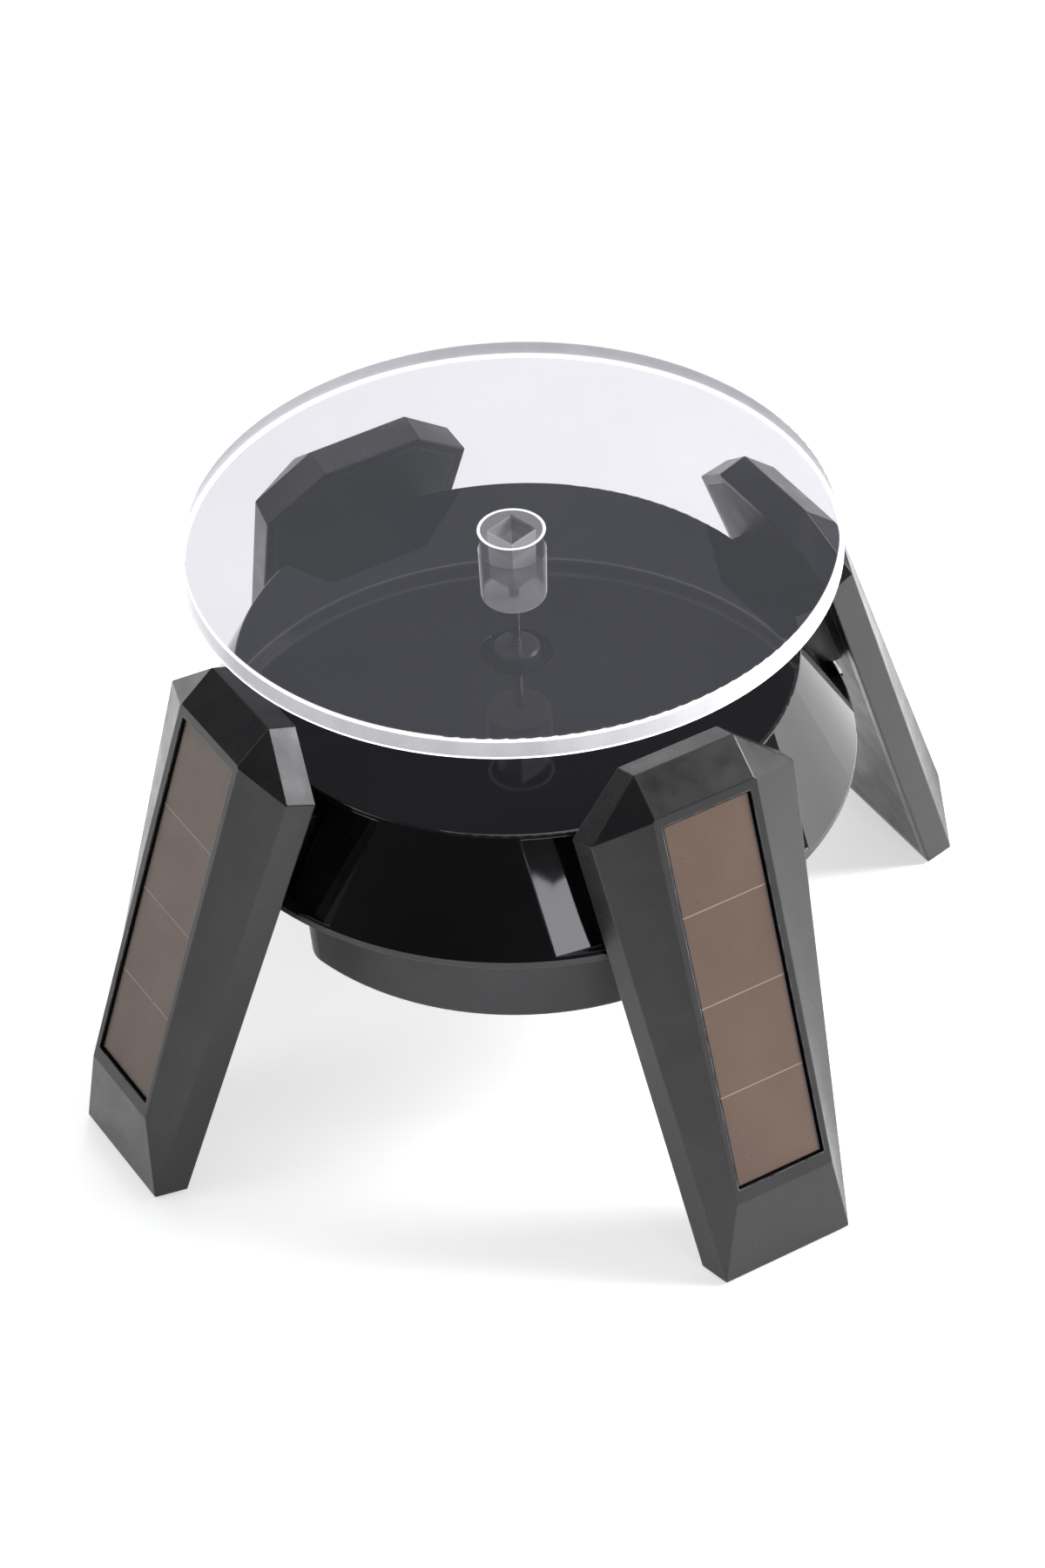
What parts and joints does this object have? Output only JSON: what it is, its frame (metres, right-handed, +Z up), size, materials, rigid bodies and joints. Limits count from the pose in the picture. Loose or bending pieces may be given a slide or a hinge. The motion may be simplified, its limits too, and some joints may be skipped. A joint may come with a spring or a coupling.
{
  "type": "turntable display stand",
  "caption": "Powered rotating display stand: clear round turntable on a dark round drive body, held up by leaning flat legs faced with solar panels.",
  "frame": {"origin": "turntable axis where it meets the floor plane the feet rest on", "axes": "+Z up along the turntable axis; the legs stand on the diagonals between +X and +Y; the motor lies towards +Y and the battery towards -Y"},
  "size_m": [0.1398, 0.1398, 0.105],
  "materials": {
    "clear_disc": "gloss",
    "pin_steel": "satin",
    "gloss_cover": "gloss",
    "satin_housing": "satin",
    "leg_plastic": "satin",
    "leg_inner_plastic": "satin",
    "solar_cell": "satin",
    "pad_rubber": "matte",
    "screw_steel": "satin",
    "gear_plastic": "satin",
    "drive_plastic": "satin",
    "chassis_plastic": "satin",
    "motor_case": "satin",
    "cell_sleeve": "gloss",
    "contact_metal": "satin",
    "door_plastic": "satin",
    "switch_plastic": "satin",
    "slider_plastic": "satin",
    "board": "satin",
    "capacitor": "gloss"
  },
  "bodies": {
    "stand": {"top_cover": "gloss_cover", "lower_housing": "satin_housing", "leg_shell_1": "leg_plastic", "leg_shell_2": "leg_plastic", "leg_shell_3": "leg_plastic", "leg_shell_4": "leg_plastic", "leg_cover_1": "leg_inner_plastic", "leg_cover_2": "leg_inner_plastic", "leg_cover_3": "leg_inner_plastic", "leg_cover_4": "leg_inner_plastic", "solar_panel_1": "solar_cell", "solar_panel_2": "solar_cell", "solar_panel_3": "solar_cell", "solar_panel_4": "solar_cell", "foot_pad_1": "pad_rubber", "foot_pad_2": "pad_rubber", "foot_pad_3": "pad_rubber", "foot_pad_4": "pad_rubber", "leg_cover_screws": "screw_steel", "leg_arm_screws": "screw_steel", "cover_screws": "screw_steel", "chassis_screws": "screw_steel", "bridge_screws": "screw_steel", "motor_screws": "screw_steel", "gear_arbors": "pin_steel", "gear_chassis": "chassis_plastic", "gear_bridge": "chassis_plastic", "motor_can": "motor_case", "battery_cell": "cell_sleeve", "battery_plus_contact": "contact_metal", "battery_spring_contact": "contact_metal", "switch_body": "switch_plastic", "circuit_board": "board", "storage_capacitor": "capacitor"},
    "turntable": {"turntable_disc": "clear_disc", "spindle_pin": "pin_steel", "output_gear": "drive_plastic"},
    "gear_a": {"compound_gear_a": "gear_plastic"},
    "gear_b": {"compound_gear_b": "gear_plastic"},
    "motor_rotor": {"motor_shaft": "pin_steel", "motor_pinion": "gear_plastic"},
    "battery_door": {"battery_door": "door_plastic"},
    "switch_slider": {"switch_slider": "slider_plastic"}
  },
  "joints": [
    {"name": "turntable_spin", "type": "hinge", "parent": "stand", "child": "turntable", "pos_m": [0, 0, 0.07], "axis": [0, 0, 1], "continuous": true},
    {"name": "gear_b_spin", "type": "hinge", "parent": "stand", "child": "gear_b", "pos_m": [0.01778, 0.008, 0.066], "axis": [0, 0, 1], "continuous": true},
    {"name": "gear_a_spin", "type": "hinge", "parent": "stand", "child": "gear_a", "pos_m": [0.01316, 0.02121, 0.064], "axis": [0, 0, 1], "continuous": true},
    {"name": "motor_spin", "type": "hinge", "parent": "stand", "child": "motor_rotor", "pos_m": [0, 0.026, 0.06], "axis": [0, 0, 1], "continuous": true},
    {"name": "battery_door_hinge", "type": "hinge", "parent": "stand", "child": "battery_door", "pos_m": [0, -0.0099, 0.0373], "axis": [1, 0, 0], "range_deg": [0, 75]},
    {"name": "switch_slide", "type": "slide", "parent": "stand", "child": "switch_slider", "axis": [1, 0, 0], "range_m": [0, 0.0024]}
  ],
  "couplings": [
    {"joint": "gear_b_spin", "follows": "turntable_spin", "ratio": -4.5714},
    {"joint": "gear_a_spin", "follows": "turntable_spin", "ratio": 13.714},
    {"joint": "motor_spin", "follows": "turntable_spin", "ratio": -41.143}
  ]
}
